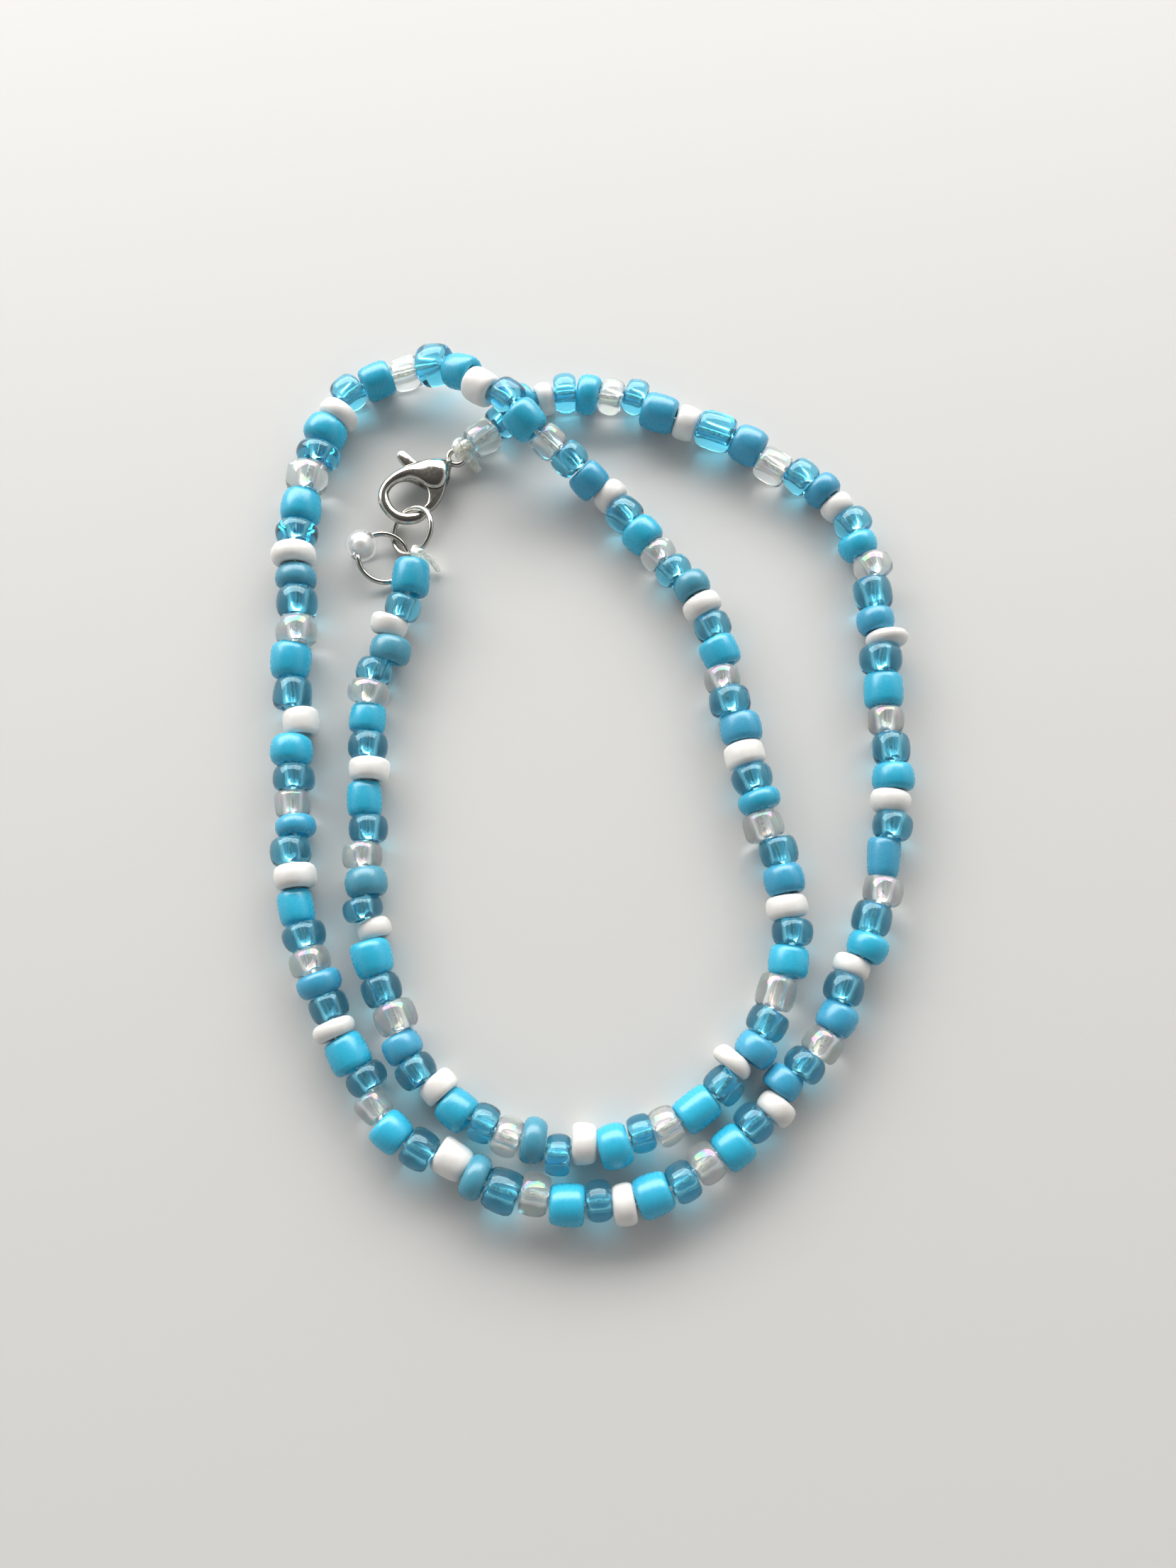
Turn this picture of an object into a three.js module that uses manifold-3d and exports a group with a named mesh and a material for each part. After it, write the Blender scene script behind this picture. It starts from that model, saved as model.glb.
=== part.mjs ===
// A seed bead necklace, about 46 cm round, lying flat in two loose turns.
// The string of glass beads runs from a jump ring to a claw clasp that is hooked into that ring.
// A second ring, linked to the first, carries one pearl. Millimetres, +Z up, resting on z = 0.
import * as THREE from 'three';
import { mergeVertices } from 'three/addons/utils/BufferGeometryUtils.js';
import Module from 'manifold-3d';

const wasm = await Module();
wasm.setup();

// The string: a tube of the beads' mean diameter that stands for the beads and their thread.
const beadDiameter = 4.3;
const stringSides = 10;
const stringStep = 5.6; // length of one straight stretch of the tube
const turnSplit = 0.5; // share of the length where the second turn takes over
const seatGap = 0.3; // left between pieces that meet
const crossingRise = 4.8; // how far the upper turn is lifted where the turns cross
const crossingSpan = 16; // the lift fades out over this length on each side
const crossingPlace = [-9.2, 40.7];
const routeDivisions = 4000; // fineness of the route's measured length
const startRise = 1.0; // the first bead lies on the wire of the charm ring
const startSpan = 12; // the string comes down to the table over this length

// The way of the string as it lies, x and y, from the jump ring round twice to the clasp.
const route = [
  [-20.05, 22.6], [-20.4, 19.5], [-22.4, 13.5], [-23.9, 7.0], [-23.7, -13.5],
  [-21.4, -24.5], [-15.6, -35.0], [-6.0, -40.3], [5.0, -39.8], [15.0, -33.4],
  [20.6, -22.8], [20.3, -11.0], [17.2, 0.0], [14.7, 11.6], [10.0, 21.6],
  [2.4, 30.4], [-6.4, 38.2], [-11.6, 42.7], [-17.8, 46.0], [-24.4, 45.4],
  [-29.4, 41.0], [-32.1, 33.4], [-33.0, 22.0], [-32.3, 4.0], [-31.7, -7.8],
  [-29.8, -19.2], [-26.0, -29.2], [-19.4, -38.9], [-8.6, -44.9], [3.6, -46.1],
  [14.4, -40.9], [22.4, -32.7], [28.1, -22.8], [32.0, -11.0], [33.0, 5.0],
  [31.8, 21.5], [24.6, 33.3], [0.0, 43.9], [-5.6, 43.2], [-13.4, 36.9],
];

// The claw clasp, in its own frame: x from the eye to the hook, y towards the gate, z up.
const claspEye = new THREE.Vector3(-15.3, 36.2, 1.34); // centre of the eye on the table
const claspHeading = -135.6; // degrees, direction of the claw's length
const claspPitch = 2.5; // degrees, the hook end lies a little higher
const eyeRadius = 0.95;
const eyeWire = 0.3;
const eyeWireSides = 8;
const eyeSteps = 20;
const clawSides = 14;
// One row for each section of the claw: its outer edge, inner edge, half thickness and how square it is.
const clawSections = [
  { outer: [0.85, -0.42], inner: [0.95, 0.38], half: 0.45, square: 2.1 },
  { outer: [1.70, -1.25], inner: [1.60, 0.75], half: 0.85, square: 2.4 },
  { outer: [2.80, -2.05], inner: [2.70, 1.60], half: 1.12, square: 3.2 },
  { outer: [3.70, -2.50], inner: [4.10, 1.85], half: 1.15, square: 3.6 },
  { outer: [4.40, -2.80], inner: [5.05, 1.10], half: 1.10, square: 3.6 },
  { outer: [5.10, -3.10], inner: [5.55, -0.45], half: 0.95, square: 3.0 },
  { outer: [5.90, -3.33], inner: [6.15, -1.60], half: 0.72, square: 2.5 },
  { outer: [6.90, -3.50], inner: [7.05, -2.20], half: 0.58, square: 2.2 },
  { outer: [8.15, -3.45], inner: [8.00, -2.28], half: 0.54, square: 2.1 },
  { outer: [9.30, -3.05], inner: [8.78, -1.98], half: 0.53, square: 2.1 },
  { outer: [10.15, -2.30], inner: [9.20, -1.38], half: 0.53, square: 2.1 },
  { outer: [10.68, -1.30], inner: [9.45, -0.68], half: 0.53, square: 2.1 },
  { outer: [10.85, 0.05], inner: [9.55, 0.10], half: 0.53, square: 2.1 },
  { outer: [10.60, 1.40], inner: [9.35, 0.85], half: 0.53, square: 2.1 },
  { outer: [9.85, 2.45], inner: [8.90, 1.45], half: 0.51, square: 2.1 },
  { outer: [8.70, 3.15], inner: [8.20, 1.95], half: 0.48, square: 2.1 },
  { outer: [7.30, 3.28], inner: [7.20, 2.20], half: 0.42, square: 2.1 },
];

// The lever turns on a pin across the slot in the claw, with the gate at one end and a tab at the other.
const pivot = [3.5, 0.5];
const pinRadius = 0.3;
const pinHalfLength = 0.75;
const pinHole = 0.45;
const pinSides = 12;
const leverThickness = 0.8;
const leverCurveSteps = 4; // straight stretches in each round part of its outline
const slotWidth = 1.1;
// The slot is as wide as the lever sweeps from rest to its stop.
const slotCorners = [
  [2.4, 3.0], [2.4, -1.5], [2.2, -5.0], [5.65, -5.0], [5.6, -3.4],
  [5.3, -2.2], [5.2, -0.8], [6.2, 0.5], [6.2, 3.0],
];
// A block round the place where the gate closes on the hook's tip.
const gateEndCorners = [[6.3, 1.2], [9, 1.2], [9, 4.5], [6.3, 4.5]];
const gateReach = 4.2; // from the pivot to the end of the gate
const hookTipReach = 4.42; // from the pivot to the hook's tip, which faces the gate
const cutHeight = 4; // height of the cutting blocks, taller than the claw
const cutSides = 48;

// Rings of round wire, each with a fine split.
const wireRadius = 0.3;
const wireSides = 6;
const ringSteps = 32;
const splitWidth = 0.12;
const jumpRing = { radius: 2.78, centre: [-20.1, 26.77, 1.78], tiltX: 2.3, tiltY: -31.7, split: 35 };
const charmRing = { radius: 2.85, centre: [-23.35, 23.75, 1.1], tiltX: 6, tiltY: 14, split: 118 };

// The pearl is threaded on the charm ring through a hole that follows the ring.
const pearl = { radius: 1.8, angle: 153, hole: 0.45, sides: 16, rows: 12, holeSides: 8 };

// Ends of the thread: a loop round a wire and a loose tail, in the frame of the wire's ring.
const tieLoopSides = 14;
const tieThreadSides = 8;
const tailSteps = 4;
const claspTie = {
  ring: eyeRadius, angle: 180, loop: 0.74, thread: 0.32, tailThread: 0.2,
  tail: [[-1.55, 0.3, -0.35], [-1.7, 1.0, -0.7], [-1.3, 2.0, -0.95]],
};
const ringTie = {
  ring: jumpRing.radius, angle: -73, loop: 0.66, thread: 0.24, tailThread: 0.2,
  tail: [[1.15, -3.05, 0.1], [2.2, -3.1, -0.4], [3.2, -3.7, -1.6]],
};

const mergeDistance = 1e-5;
const degrees = THREE.MathUtils.degToRad;
const up = new THREE.Vector3(0, 0, 1);

const metal = { color: 0xb9b6b0, roughness: 0.16, metalness: 1 };
const glassBlue = { color: 0x3fa9cf, roughness: 0.12, metalness: 0 };
const pearlWhite = { color: 0xf1ece4, roughness: 0.18, metalness: 0 };
const clearThread = { color: 0xe6e4d8, roughness: 0.45, metalness: 0 };

function piece(name, geometry, finish) {
  const mesh = new THREE.Mesh(geometry, new THREE.MeshStandardMaterial(finish));
  mesh.name = name;
  return mesh;
}

// A closed three.js geometry as a solid that can be joined and cut.
function solidOf(geometry) {
  const bare = geometry.clone();
  bare.deleteAttribute('normal');
  bare.deleteAttribute('uv');
  const merged = mergeVertices(bare, mergeDistance);
  return new wasm.Manifold(new wasm.Mesh({
    numProp: 3,
    vertProperties: new Float32Array(merged.attributes.position.array),
    triVerts: new Uint32Array(merged.index.array),
  }));
}

function geometryOf(solid) {
  const { vertProperties, triVerts } = solid.getMesh();
  const geometry = new THREE.BufferGeometry();
  geometry.setAttribute('position', new THREE.BufferAttribute(vertProperties, 3));
  geometry.setIndex(new THREE.BufferAttribute(triVerts, 1));
  geometry.computeVertexNormals();
  return geometry;
}

// A regular outline with a flat side downwards; reach is the distance from its middle to a side.
function evenOutline(sides, reach) {
  const corner = reach / Math.cos(Math.PI / sides);
  const points = [];
  for (let side = 0; side < sides; side += 1) {
    const angle = -Math.PI / 2 + ((side + 0.5) * 2 * Math.PI) / sides;
    points.push(new THREE.Vector2(corner * Math.cos(angle), corner * Math.sin(angle)));
  }
  return new THREE.Shape(points);
}

// Half a cosine wave from 1 down to 0 over the span.
function fade(distance, span) {
  return distance < span ? 0.5 + 0.5 * Math.cos((Math.PI * distance) / span) : 0;
}

// One turn of the string: a stretch of the route at bead height, lifted where it rides over the other turn.
class LyingTurn extends THREE.Curve {
  constructor(plan, from, to, liftPlace) {
    super();
    Object.assign(this, { plan, from, to, liftPlace });
  }

  getPoint(share) {
    const place = this.from + (this.to - this.from) * share;
    const point = this.plan.getPointAt(place);
    const fromStart = place * this.plan.getLength();
    const fromCrossing = Math.abs(place - this.liftPlace) * this.plan.getLength();
    const lift = crossingRise * fade(fromCrossing, crossingSpan) + startRise * fade(fromStart, startSpan);
    point.z = beadDiameter / 2 + lift;
    return point;
  }

  // Upright frames keep one flat side of the tube on the table.
  computeFrenetFrames(segments) {
    const frames = { tangents: [], normals: [], binormals: [] };
    for (let step = 0; step <= segments; step += 1) {
      const tangent = this.getTangentAt(step / segments);
      const side = new THREE.Vector3().crossVectors(up, tangent).normalize();
      frames.tangents.push(tangent);
      frames.normals.push(side);
      frames.binormals.push(new THREE.Vector3().crossVectors(tangent, side));
    }
    return frames;
  }
}

// Share of the route's length, within its first turn, that lies nearest to a point of the table.
function nearestShare(plan, [x, y]) {
  const target = new THREE.Vector3(x, y, 0);
  let best = 0;
  for (let index = 0; index <= routeDivisions * turnSplit; index += 1) {
    const share = index / routeDivisions;
    if (plan.getPointAt(share).distanceTo(target) < plan.getPointAt(best).distanceTo(target)) {
      best = share;
    }
  }
  return best;
}

function beadTurns() {
  const plan = new THREE.CatmullRomCurve3(route.map(([x, y]) => new THREE.Vector3(x, y, 0)));
  plan.arcLengthDivisions = routeDivisions;
  const gapShare = seatGap / plan.getLength();
  const liftPlace = nearestShare(plan, crossingPlace);
  const section = evenOutline(stringSides, beadDiameter / 2);
  const stretches = [
    ['bead_string_inner_turn', 0, turnSplit],
    ['bead_string_outer_turn', turnSplit + gapShare, 1],
  ];
  return stretches.map(([name, from, to]) => {
    const turn = new LyingTurn(plan, from, to, liftPlace);
    const steps = Math.round(turn.getLength() / stringStep);
    const tube = new THREE.ExtrudeGeometry(section, { extrudePath: turn, steps });
    return piece(name, tube, glassBlue);
  });
}

// An even turn of a circle pressed towards a square; 2 leaves it round.
function squared(value, square) {
  return Math.sign(value) * Math.abs(value) ** (2 / square);
}

// A capped cylinder whose rows of corners are carried to the claw's sections.
function clawBlank() {
  const rows = clawSections.length - 1;
  const blank = new THREE.CylinderGeometry(1, 1, rows, clawSides, rows);
  const corners = blank.attributes.position;
  for (let index = 0; index < corners.count; index += 1) {
    const { outer, inner, half, square } = clawSections[Math.round(rows / 2 - corners.getY(index))];
    const across = 0.5 + 0.5 * squared(corners.getX(index), square);
    const x = THREE.MathUtils.lerp(outer[0], inner[0], across);
    const y = THREE.MathUtils.lerp(outer[1], inner[1], across);
    corners.setXYZ(index, x, y, half * squared(corners.getZ(index), square));
  }
  return blank;
}

// An upright cylinder on the lever's pivot.
function pivotCylinder(radius, height, sides) {
  const cylinder = new THREE.CylinderGeometry(radius, radius, height, sides);
  return cylinder.rotateX(Math.PI / 2).translate(pivot[0], pivot[1], 0);
}

// A flat plate of the given outline, centred on the clasp's middle plane.
function plate(outline, thickness) {
  const flat = new THREE.ExtrudeGeometry(outline, {
    depth: thickness, bevelEnabled: false, curveSegments: leverCurveSteps,
  });
  return flat.translate(0, 0, -thickness / 2);
}

function cornerOutline(corners) {
  return new THREE.Shape(corners.map(([x, y]) => new THREE.Vector2(x, y)));
}

function gateEnd() {
  return solidOf(plate(cornerOutline(gateEndCorners), cutHeight));
}

// The hook's tip is cut round the pivot, so that the gate swings past it.
function claspBody() {
  const eye = new THREE.TorusGeometry(eyeRadius, eyeWire, eyeWireSides, eyeSteps);
  const slot = plate(cornerOutline(slotCorners), slotWidth);
  const pin = pivotCylinder(pinRadius, 2 * pinHalfLength, pinSides);
  const tipCut = gateEnd().intersect(solidOf(pivotCylinder(hookTipReach, cutHeight, cutSides)));
  const body = solidOf(clawBlank()).subtract(solidOf(slot)).subtract(tipCut);
  return geometryOf(body.add(solidOf(eye)).add(solidOf(pin)));
}

// Outline of the lever: down the back to the tab, round it, along the gate and back round the hub.
function leverOutline() {
  const outline = new THREE.Shape();
  outline.moveTo(2.75, 0.6);
  outline.quadraticCurveTo(2.9, -0.4, 3.45, -1.4);
  outline.lineTo(3.8, -2.9);
  outline.lineTo(3.85, -4.3);
  outline.quadraticCurveTo(3.95, -5.05, 4.5, -5.05);
  outline.quadraticCurveTo(5.05, -4.95, 5.2, -3.7);
  outline.lineTo(4.95, -2.2);
  outline.quadraticCurveTo(4.6, -0.8, 5.1, 0.35);
  outline.quadraticCurveTo(5.5, 1.4, 6.4, 2.03);
  outline.lineTo(7.4, 2.28);
  outline.lineTo(7.4, 3.15);
  outline.lineTo(6.1, 3.08);
  outline.quadraticCurveTo(4.6, 2.65, 3.3, 1.8);
  outline.quadraticCurveTo(2.7, 1.35, 2.75, 0.6);
  return outline;
}

function claspLever() {
  const beyond = gateEnd().subtract(solidOf(pivotCylinder(gateReach, cutHeight, cutSides)));
  const hole = solidOf(pivotCylinder(pinHole, cutHeight, pinSides));
  return geometryOf(solidOf(plate(leverOutline(), leverThickness)).subtract(beyond).subtract(hole));
}

// A circle of wire in the x-y plane that starts and ends at its split.
class SplitCircle extends THREE.Curve {
  constructor(radius, splitAngle) {
    super();
    Object.assign(this, { radius, splitAngle });
  }

  getPoint(share) {
    const open = splitWidth / this.radius;
    const angle = degrees(this.splitAngle) + open / 2 + (2 * Math.PI - open) * share;
    return new THREE.Vector3(this.radius * Math.cos(angle), this.radius * Math.sin(angle), 0);
  }
}

function wireRing({ radius, split }) {
  const section = evenOutline(wireSides, wireRadius * Math.cos(Math.PI / wireSides));
  const circle = new SplitCircle(radius, split);
  return new THREE.ExtrudeGeometry(section, { extrudePath: circle, steps: ringSteps });
}

// A group in the plane of a ring, tilted as the ring lies.
function ringFrame({ centre, tiltX, tiltY }) {
  const frame = new THREE.Group();
  frame.position.set(...centre);
  frame.rotation.set(degrees(tiltX), degrees(tiltY), 0);
  return frame;
}

function drilledPearl() {
  const ball = new THREE.SphereGeometry(pearl.radius, pearl.sides, pearl.rows);
  const angle = degrees(pearl.angle);
  ball.translate(charmRing.radius * Math.cos(angle), charmRing.radius * Math.sin(angle), 0);
  const hole = new THREE.TorusGeometry(charmRing.radius, pearl.hole, pearl.holeSides, 2 * ringSteps);
  return geometryOf(solidOf(ball).subtract(solidOf(hole)));
}

// A loop of thread round the wire of a ring, with its tail.
function threadTie({ ring, angle, loop, thread, tailThread, tail }) {
  const turn = degrees(angle);
  const knot = new THREE.TorusGeometry(loop, thread, tieThreadSides, tieLoopSides);
  knot.rotateX(Math.PI / 2).rotateZ(turn).translate(ring * Math.cos(turn), ring * Math.sin(turn), 0);
  const tailPath = new THREE.CatmullRomCurve3(tail.map((point) => new THREE.Vector3(...point)));
  const section = evenOutline(tieThreadSides, tailThread);
  const end = new THREE.ExtrudeGeometry(section, { extrudePath: tailPath, steps: tailSteps });
  return geometryOf(solidOf(knot).add(solidOf(end)));
}

const clasp = new THREE.Group();
clasp.position.copy(claspEye);
clasp.rotation.set(0, -degrees(claspPitch), degrees(claspHeading), 'ZYX');
clasp.add(
  piece('clasp_body', claspBody(), metal),
  piece('clasp_lever', claspLever(), metal),
  piece('clasp_thread_tie', threadTie(claspTie), clearThread),
);

const jumpFrame = ringFrame(jumpRing);
jumpFrame.add(
  piece('jump_ring', wireRing(jumpRing), metal),
  piece('ring_thread_tie', threadTie(ringTie), clearThread),
);

const charmFrame = ringFrame(charmRing);
charmFrame.add(
  piece('charm_ring', wireRing(charmRing), metal),
  piece('pearl_bead', drilledPearl(), pearlWhite),
);

const necklace = new THREE.Group();
necklace.add(...beadTurns(), clasp, jumpFrame, charmFrame);

export default necklace;
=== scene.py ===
import bpy
import numpy as np
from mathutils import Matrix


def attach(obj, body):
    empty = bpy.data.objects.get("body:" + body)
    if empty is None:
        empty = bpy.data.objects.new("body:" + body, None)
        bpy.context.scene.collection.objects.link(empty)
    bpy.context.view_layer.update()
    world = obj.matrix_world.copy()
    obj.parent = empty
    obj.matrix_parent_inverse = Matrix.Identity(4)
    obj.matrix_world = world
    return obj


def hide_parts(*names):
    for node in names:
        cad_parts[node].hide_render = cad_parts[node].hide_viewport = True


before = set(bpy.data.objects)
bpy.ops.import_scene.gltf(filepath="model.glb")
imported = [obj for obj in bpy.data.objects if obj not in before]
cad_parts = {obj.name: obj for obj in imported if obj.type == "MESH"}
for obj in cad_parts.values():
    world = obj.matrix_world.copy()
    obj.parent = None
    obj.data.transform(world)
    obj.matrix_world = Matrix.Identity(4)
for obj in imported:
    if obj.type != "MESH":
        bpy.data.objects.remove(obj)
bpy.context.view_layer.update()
mm = 0.001
turn = 2 * np.pi
upward = np.array([0.0, 0.0, 1.0])
draw = np.random.default_rng(11)


# The table, the light and the camera
studio = {
    "floorSize": 1.6, "floorColour": (0.64, 0.63, 0.615), "floorRoughness": 0.75,
    "windowPlace": (-0.12, 0.75, 0.44), "windowSize": (1.9, 0.34), "windowPower": 13.4,
    "glintSize": (1.9, 0.62), "glintPower": 29.0, "daylight": (1.0, 0.985, 0.96),
    "roomWall": (1.0, 1.0, 1.0), "roomCeiling": (0.13, 0.125, 0.12), "ceilingFrom": 0.55, "ceilingTo": 0.80,
    "roomFront": (0.55, 0.56, 0.57), "roomSide": (0.82, 0.84, 0.85), "roomBack": (1.9, 1.9, 1.88),
    "frontStop": 0.15, "sideStop": 0.5, "backStop": 0.95,
    "aim": (0.0, -0.0025, 0.0), "distance": 0.13286, "elevation": 77.0,
    "lens": 27.67, "sensor": 36.0, "nearest": 0.002, "farthest": 10.0,
}


def aimAt(thing, place, target):
    # turns a lamp or camera so that its -Z axis points from place to target
    step = np.array(target, float) - np.array(place, float)
    flat = np.hypot(step[0], step[1])
    thing.location = place
    thing.rotation_euler = (np.arctan2(flat, -step[2]), 0.0, np.arctan2(-step[0], step[1]))


def addWindow(name, size, power):
    # a rectangle of daylight behind the necklace, turned to face it
    lamp = bpy.data.lights.new(name, "AREA")
    lamp.shape, lamp.size, lamp.size_y = "RECTANGLE", size[0], size[1]
    lamp.energy, lamp.color = power, studio["daylight"]
    thing = bpy.data.objects.new(name, lamp)
    bpy.context.collection.objects.link(thing)
    aimAt(thing, studio["windowPlace"], studio["aim"])
    return thing


def setTable():
    # one square of floor with the origin in its middle
    half = studio["floorSize"] / 2
    corners = [(-half, -half, 0), (half, -half, 0), (half, half, 0), (-half, half, 0)]
    mesh = bpy.data.meshes.new("table_top")
    mesh.from_pydata(corners, [], [(0, 1, 2, 3)])
    floor = bpy.data.objects.new("table_top", mesh)
    bpy.context.collection.objects.link(floor)
    mesh.materials.append(newMaterial("pale_table", studio["floorColour"], studio["floorRoughness"])[0])


def setWindow():
    # the window lights everything, and the bright sky in it shows in gloss and through glass only
    addWindow("window_light", studio["windowSize"], studio["windowPower"])
    glint = addWindow("window_glint", studio["glintSize"], studio["glintPower"])
    glint.visible_camera = glint.visible_diffuse = False
    bpy.context.scene.cycles.blur_glossy = 0.0  # light through the glass beads stays crisp on the table


def setRoom():
    # a direction's light is a fade from wall to ceiling by its height, times a fade from front to back
    world = bpy.data.worlds.new("soft_room")
    bpy.context.scene.world = world
    world.use_nodes = True
    tree = world.node_tree
    place = tree.nodes.new("ShaderNodeTexCoord")
    direction = tree.nodes.new("ShaderNodeSeparateXYZ")
    tree.links.new(place.outputs["Generated"], direction.inputs["Vector"])
    ceilingStops = [(studio["ceilingFrom"], studio["roomWall"]), (studio["ceilingTo"], studio["roomCeiling"])]
    overhead = addRamp(tree, direction.outputs["Z"], ceilingStops)
    across = tree.nodes.new("ShaderNodeMapRange")  # from 0 at the front of the room to 1 at its back
    across.inputs["From Min"].default_value = -1.0
    tree.links.new(direction.outputs["Y"], across.inputs["Value"])
    wallStops = [(studio[side + "Stop"], studio["room" + side.title()]) for side in ("front", "side", "back")]
    walls = addRamp(tree, across.outputs["Result"], wallStops)
    shaded = tree.nodes.new("ShaderNodeVectorMath")
    shaded.operation = "MULTIPLY"
    tree.links.new(overhead, shaded.inputs[0])
    tree.links.new(walls, shaded.inputs[1])
    tree.links.new(shaded.outputs["Vector"], tree.nodes["Background"].inputs["Color"])


def setCamera():
    # stands off from the aim by the distance, in front of it and raised by the elevation
    lens = bpy.data.cameras.new("photo_camera")
    lens.sensor_width, lens.lens = studio["sensor"], studio["lens"]
    lens.clip_start, lens.clip_end = studio["nearest"], studio["farthest"]
    camera = bpy.data.objects.new("photo_camera", lens)
    bpy.context.collection.objects.link(camera)
    rise = np.radians(studio["elevation"])
    back = np.array([0.0, -np.cos(rise), np.sin(rise)]) * studio["distance"]
    aimAt(camera, tuple(np.array(studio["aim"]) + back), studio["aim"])
    bpy.context.scene.camera = camera
    bpy.context.scene.view_settings.view_transform = "Standard"


# Materials: a small set of helpers, then each finish with its values. A noise is given as its waves
# per metre and its detail, and a bump as its height in metres and its strength
noiseSpan = (0.3, 0.7)  # nearly all of a noise signal lies between these


def newMaterial(name, colour, roughness):
    # a surface of one colour and roughness, with its node tree and its shader
    material = bpy.data.materials.new(name)
    material.use_nodes = True
    tree = material.node_tree
    shader = tree.nodes["Principled BSDF"]
    shader.inputs["Base Color"].default_value = (*colour, 1.0)
    shader.inputs["Roughness"].default_value = roughness
    return material, tree, shader


def addNoise(tree, scale, detail):
    # noise on object coordinates
    place = tree.nodes.new("ShaderNodeTexCoord")
    noise = tree.nodes.new("ShaderNodeTexNoise")
    noise.inputs["Scale"].default_value = scale
    noise.inputs["Detail"].default_value = detail
    tree.links.new(place.outputs["Object"], noise.inputs["Vector"])
    return noise.outputs["Fac"]


def addRange(tree, noise, low, high):
    # stretches the span of a noise to the given range
    spread = tree.nodes.new("ShaderNodeMapRange")
    tree.links.new(noise, spread.inputs["Value"])
    spread.inputs["From Min"].default_value, spread.inputs["From Max"].default_value = noiseSpan
    spread.inputs["To Min"].default_value = low
    spread.inputs["To Max"].default_value = high
    return spread.outputs["Result"]


def addRamp(tree, source, stops):
    # a colour that blends from stop to stop as the source grows
    ramp = tree.nodes.new("ShaderNodeValToRGB")
    tree.links.new(source, ramp.inputs["Fac"])
    while len(ramp.color_ramp.elements) < len(stops):
        ramp.color_ramp.elements.new(0.5)
    for element, (place, colour) in zip(ramp.color_ramp.elements, stops):
        element.position = place
        element.color = (*colour, 1.0)
    return ramp.outputs["Color"]


def addAttribute(tree, name):
    # the value that a bead's points carry under this name
    reader = tree.nodes.new("ShaderNodeAttribute")
    reader.attribute_name = name
    return reader.outputs["Fac"]


def addShade(tree, colour, value):
    # the colour made lighter or darker by a value near 1
    shade = tree.nodes.new("ShaderNodeHueSaturation")
    tree.links.new(colour, shade.inputs["Color"])
    tree.links.new(value, shade.inputs["Value"])
    return shade.outputs["Color"]


def addProduct(tree, first, second):
    # the first value times the second
    product = tree.nodes.new("ShaderNodeMath")
    product.operation = "MULTIPLY"
    tree.links.new(first, product.inputs[0])
    tree.links.new(second, product.inputs[1])
    return product.outputs["Value"]


def addBump(tree, shader, height, distance, strength):
    # tips the surface as if the height signal raised it by the distance
    bump = tree.nodes.new("ShaderNodeBump")
    bump.inputs["Distance"].default_value = distance
    bump.inputs["Strength"].default_value = strength
    tree.links.new(height, bump.inputs["Height"])
    tree.links.new(bump.outputs["Normal"], shader.inputs["Normal"])


def newFinish(name, look):
    # constants on the shader's sockets, noise that varies the roughness, and a fine bump
    material, tree, shader = newMaterial(name, look["base"], look["roughness"])
    for socket, value in look["sockets"].items():
        shader.inputs[socket].default_value = value
    roughness = addRange(tree, addNoise(tree, *look["roughNoise"]), *look["roughRange"])
    tree.links.new(roughness, shader.inputs["Roughness"])
    addBump(tree, shader, addNoise(tree, *look["bumpNoise"]), *look["bump"])
    return material, tree, shader


blueLook = {
    "base": (0.04, 0.35, 0.55), "roughness": 0.26,
    "tones": [(0.0, (0.033, 0.42, 0.62)), (0.5, (0.052, 0.335, 0.53)), (1.0, (0.07, 0.285, 0.39))],
    "cloudNoise": (240.0, 1.5), "cloudRange": (0.95, 1.05),
    "sockets": {"Specular IOR Level": 0.4, "Coat Weight": 0.04, "Coat Roughness": 0.12},
    "roughNoise": (2600.0, 3.0), "roughRange": (0.20, 0.34),
    "bumpNoise": (900.0, 3.0), "bump": (0.00003, 0.12),
}


def opaqueBlue():
    # turquoise, mid blue and slate by the bead's tone, clouded like poured glass, under a thin gloss
    material, tree, shader = newFinish("opaque_blue_glass", blueLook)
    base = addRamp(tree, addAttribute(tree, "tone"), blueLook["tones"])
    clouds = addRange(tree, addNoise(tree, *blueLook["cloudNoise"]), *blueLook["cloudRange"])
    tint = addProduct(tree, clouds, addAttribute(tree, "vary"))
    tree.links.new(addShade(tree, base, tint), shader.inputs["Base Color"])
    return material


whiteLook = {
    "base": (0.74, 0.715, 0.685), "roughness": 0.5,
    "cloudNoise": (520.0, 4.0), "clouds": [(0.3, (0.68, 0.65, 0.615)), (0.7, (0.78, 0.765, 0.74))],
    "sockets": {"Coat Weight": 0.05, "Coat Roughness": 0.2},
    "roughNoise": (2400.0, 3.0), "roughRange": (0.42, 0.58),
    "bumpNoise": (700.0, 3.0), "bump": (0.00005, 0.18),
}


def opaqueWhite():
    # warm white with a satin skin
    material, tree, shader = newFinish("white_glass", whiteLook)
    base = addRamp(tree, addNoise(tree, *whiteLook["cloudNoise"]), whiteLook["clouds"])
    tree.links.new(addShade(tree, base, addAttribute(tree, "vary")), shader.inputs["Base Color"])
    return material


aquaLook = {
    "base": (0.42, 0.745, 0.86), "roughness": 0.02,
    "depthColour": (0.12, 0.845, 0.96), "depthDensity": 300.0,
    "sockets": {"Transmission Weight": 0.95, "IOR": 1.51, "Specular Tint": (0.65, 0.92, 1.0, 1.0)},
    "roughNoise": (1800.0, 3.0), "roughRange": (0.01, 0.045),
    "bumpNoise": (900.0, 3.0), "bump": (0.00004, 0.25),
}


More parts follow.
